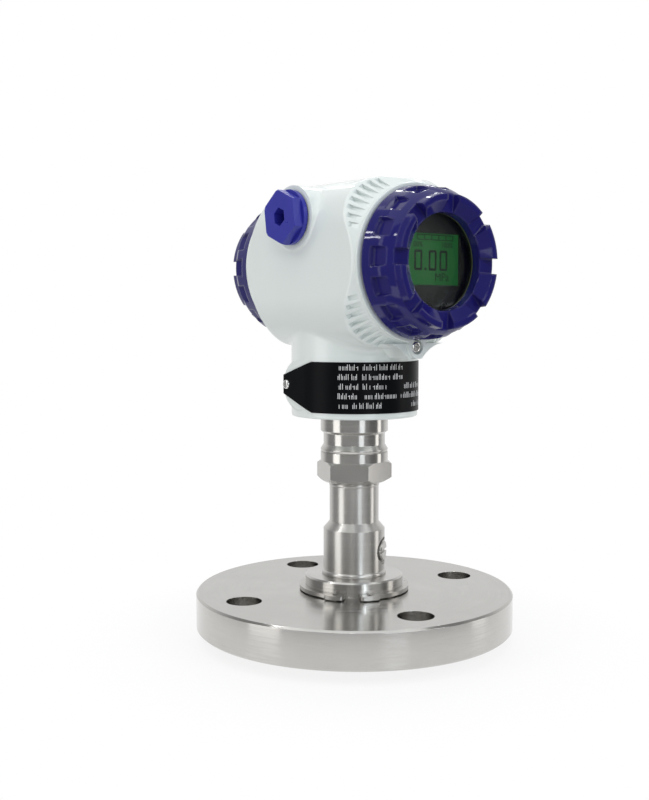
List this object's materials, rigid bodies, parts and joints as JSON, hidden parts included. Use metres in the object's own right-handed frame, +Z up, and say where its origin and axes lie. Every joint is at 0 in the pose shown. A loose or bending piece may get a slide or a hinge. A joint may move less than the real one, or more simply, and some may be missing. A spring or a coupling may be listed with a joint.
{
  "type": "pressure transmitter",
  "caption": "Flange-mounted diaphragm-seal pressure transmitter: loose flange, turned stem and cast head with window cover, blind cover, plugged entries and display.",
  "frame": {"origin": "centre of the raised face that seals against the process", "axes": "+Z up along the stem, the display looks along -Y, the conduit entries along -X and +X"},
  "size_m": [0.165, 0.165, 0.2342],
  "materials": {
    "white_paint": "cool white gloss paint on a die casting",
    "blue_paint": "deep blue gloss paint",
    "blue_plastic": "moulded blue plastic",
    "turned_steel": "turned stainless steel",
    "flange_steel": "faced stainless steel",
    "foil_steel": "thin bright foil",
    "spring_steel": "stamped spring steel",
    "screw_chrome": "bright plated",
    "seal_rubber": "matt black rubber",
    "window_glass": "clear thick glass",
    "retainer_aluminium": "plain turned",
    "black_plastic": "moulded satin black",
    "lcd_green": "backlit liquid crystal glass",
    "light_guide": "milky light guide",
    "key_plastic": "soft black keycap",
    "board_green": "green circuit board",
    "post_brass": "turned brass",
    "plate_black": "satin black anodised sheet"
  },
  "bodies": {
    "transmitter": {"housing": "white_paint", "seal_body": "turned_steel", "stem": "turned_steel", "hex_adapter": "turned_steel", "sensor_module": "turned_steel", "fill_plug": "turned_steel", "seal_diaphragm": "foil_steel", "retaining_ring": "spring_steel", "front_lock_screw": "screw_chrome", "rear_lock_screw": "screw_chrome", "nameplate_screws": "screw_chrome", "board_screws": "screw_chrome", "module_seal": "seal_rubber", "display_bezel": "black_plastic", "terminal_block": "black_plastic", "feedthrough": "black_plastic", "sensor_header": "black_plastic", "key_switches": "black_plastic", "lcd_panel": "lcd_green", "lcd_backlight": "light_guide", "display_board": "board_green", "main_board": "board_green", "display_posts": "post_brass", "board_posts": "post_brass", "terminal_screws": "post_brass", "ground_screw": "post_brass", "nameplate": "plate_black"},
    "flange": {"flange": "flange_steel"},
    "front_seal": {"front_cover_seal": "seal_rubber"},
    "front_cover": {"front_cover": "blue_paint", "front_glass": "window_glass", "glass_gasket": "seal_rubber", "glass_retainer": "retainer_aluminium"},
    "rear_seal": {"rear_cover_seal": "seal_rubber"},
    "rear_cover": {"rear_cover": "blue_paint"},
    "left_seal": {"plug_seal_left": "seal_rubber"},
    "left_plug": {"entry_plug_left": "blue_plastic"},
    "right_seal": {"plug_seal_right": "seal_rubber"},
    "right_plug": {"entry_plug_right": "blue_plastic"},
    "key_mode": {"key_mode": "key_plastic"},
    "key_span": {"key_span": "key_plastic"},
    "key_zero": {"key_zero": "key_plastic"}
  },
  "joints": [
    {"name": "flange_swivel", "type": "hinge", "parent": "transmitter", "child": "flange", "pos_m": [0, 0, 0.0156], "axis": [0, 0, 1], "continuous": true},
    {"name": "front_cover_travel", "type": "slide", "parent": "transmitter", "child": "front_seal", "axis": [0, -1, 0], "range_m": [0, 0.008]},
    {"name": "front_cover_unscrew", "type": "hinge", "parent": "front_seal", "child": "front_cover", "pos_m": [0, -0.0476, 0.1932], "axis": [0, -1, 0], "range_deg": [0, 1440]},
    {"name": "rear_cover_travel", "type": "slide", "parent": "transmitter", "child": "rear_seal", "axis": [0, 1, 0], "range_m": [0, 0.008]},
    {"name": "rear_cover_unscrew", "type": "hinge", "parent": "rear_seal", "child": "rear_cover", "pos_m": [0, 0.0425, 0.1932], "axis": [0, 1, 0], "range_deg": [0, 1440]},
    {"name": "left_plug_travel", "type": "slide", "parent": "transmitter", "child": "left_seal", "axis": [-1, 0, 0], "range_m": [0, 0.0105]},
    {"name": "left_plug_unscrew", "type": "hinge", "parent": "left_seal", "child": "left_plug", "pos_m": [-0.04, 0, 0.216], "axis": [-1, 0, 0], "range_deg": [0, 2520]},
    {"name": "right_plug_travel", "type": "slide", "parent": "transmitter", "child": "right_seal", "axis": [1, 0, 0], "range_m": [0, 0.0105]},
    {"name": "right_plug_unscrew", "type": "hinge", "parent": "right_seal", "child": "right_plug", "pos_m": [0.04, 0, 0.216], "axis": [1, 0, 0], "range_deg": [0, 2520]},
    {"name": "key_mode_press", "type": "slide", "parent": "transmitter", "child": "key_mode", "axis": [0, 1, 0], "range_m": [0, 0.0007], "stiffness_N_per_m": 400},
    {"name": "key_span_press", "type": "slide", "parent": "transmitter", "child": "key_span", "axis": [0, 1, 0], "range_m": [0, 0.0007], "stiffness_N_per_m": 400},
    {"name": "key_zero_press", "type": "slide", "parent": "transmitter", "child": "key_zero", "axis": [0, 1, 0], "range_m": [0, 0.0007], "stiffness_N_per_m": 400}
  ],
  "couplings": [
    {"joint": "front_cover_travel", "follows": "front_cover_unscrew", "m_per_rad": 0.00031831},
    {"joint": "rear_cover_travel", "follows": "rear_cover_unscrew", "m_per_rad": 0.00031831},
    {"joint": "left_plug_unscrew", "follows": "left_plug_travel", "rad_per_m": 4188.8},
    {"joint": "right_plug_unscrew", "follows": "right_plug_travel", "rad_per_m": 4188.8}
  ]
}
